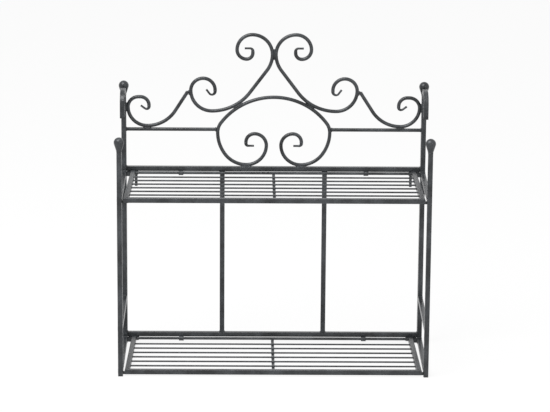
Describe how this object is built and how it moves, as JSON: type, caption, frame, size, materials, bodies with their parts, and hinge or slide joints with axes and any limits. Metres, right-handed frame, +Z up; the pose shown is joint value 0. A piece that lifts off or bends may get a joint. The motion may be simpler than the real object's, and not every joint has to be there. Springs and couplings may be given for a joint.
{
  "type": "folding plant stand",
  "caption": "Free-standing two-tier folding plant stand of dark coated square steel tube, with wire shelves that fold up and a scrolled crest.",
  "frame": {"origin": "on the floor, at the centre of the stand's bounding box", "axes": "+X to the right seen from the front, +Y to the back where the crest stands, +Z up"},
  "size_m": [0.651, 0.261, 0.6733],
  "materials": {
    "powder_coated_steel": "hammered pewter-grey powder coat, semi-gloss",
    "plastic_plugs": "moulded black polyethylene, matt"
  },
  "bodies": {
    "back_frame": {"back_post_left": "powder_coated_steel", "back_post_right": "powder_coated_steel", "back_finial_left": "powder_coated_steel", "back_finial_right": "powder_coated_steel", "upper_back_rail": "powder_coated_steel", "lower_back_rail": "powder_coated_steel", "back_upright_left": "powder_coated_steel", "back_upright_right": "powder_coated_steel", "crest_rail_left": "powder_coated_steel", "crest_rail_right": "powder_coated_steel", "crest_oval_scroll": "powder_coated_steel", "crest_heart_scroll_left": "powder_coated_steel", "crest_heart_scroll_right": "powder_coated_steel", "crest_side_scroll_left": "powder_coated_steel", "crest_side_scroll_right": "powder_coated_steel", "upper_shelf_clips": "powder_coated_steel", "lower_shelf_clips": "powder_coated_steel", "side_hinge_pins_left": "powder_coated_steel", "side_hinge_pins_right": "powder_coated_steel", "back_foot_plugs": "plastic_plugs"},
    "left_side_frame": {"left_front_post": "powder_coated_steel", "left_front_finial": "powder_coated_steel", "left_stile": "powder_coated_steel", "left_upper_side_rail": "powder_coated_steel", "left_middle_side_rail": "powder_coated_steel", "left_lower_side_rail": "powder_coated_steel", "left_shelf_rests": "powder_coated_steel", "left_hinge_lugs": "powder_coated_steel", "left_foot_plugs": "plastic_plugs", "left_crook_plug": "plastic_plugs"},
    "right_side_frame": {"right_front_post": "powder_coated_steel", "right_front_finial": "powder_coated_steel", "right_stile": "powder_coated_steel", "right_upper_side_rail": "powder_coated_steel", "right_middle_side_rail": "powder_coated_steel", "right_lower_side_rail": "powder_coated_steel", "right_shelf_rests": "powder_coated_steel", "right_hinge_lugs": "powder_coated_steel", "right_foot_plugs": "plastic_plugs", "right_crook_plug": "plastic_plugs"},
    "upper_shelf": {"upper_shelf_front_rail": "powder_coated_steel", "upper_shelf_side_rail_left": "powder_coated_steel", "upper_shelf_side_rail_right": "powder_coated_steel", "upper_shelf_pivot_rod": "powder_coated_steel", "upper_shelf_wires": "powder_coated_steel", "upper_shelf_strut": "powder_coated_steel"},
    "lower_shelf": {"lower_shelf_front_rail": "powder_coated_steel", "lower_shelf_side_rail_left": "powder_coated_steel", "lower_shelf_side_rail_right": "powder_coated_steel", "lower_shelf_pivot_rod": "powder_coated_steel", "lower_shelf_wires": "powder_coated_steel", "lower_shelf_strut": "powder_coated_steel"}
  },
  "joints": [
    {"name": "upper_shelf_hinge", "type": "hinge", "parent": "back_frame", "child": "upper_shelf", "pos_m": [0, 0.1095, 0.3745], "axis": [-1, 0, 0], "range_deg": [0, 90]},
    {"name": "lower_shelf_hinge", "type": "hinge", "parent": "back_frame", "child": "lower_shelf", "pos_m": [0, 0.1095, 0.009], "axis": [-1, 0, 0], "range_deg": [0, 90]},
    {"name": "left_side_hinge", "type": "hinge", "parent": "back_frame", "child": "left_side_frame", "pos_m": [-0.29, 0.12, 0.19], "axis": [0, 0, 1], "range_deg": [0, 0.7]},
    {"name": "right_side_hinge", "type": "hinge", "parent": "back_frame", "child": "right_side_frame", "pos_m": [0.29, 0.12, 0.19], "axis": [0, 0, -1], "range_deg": [0, 0.7]}
  ]
}
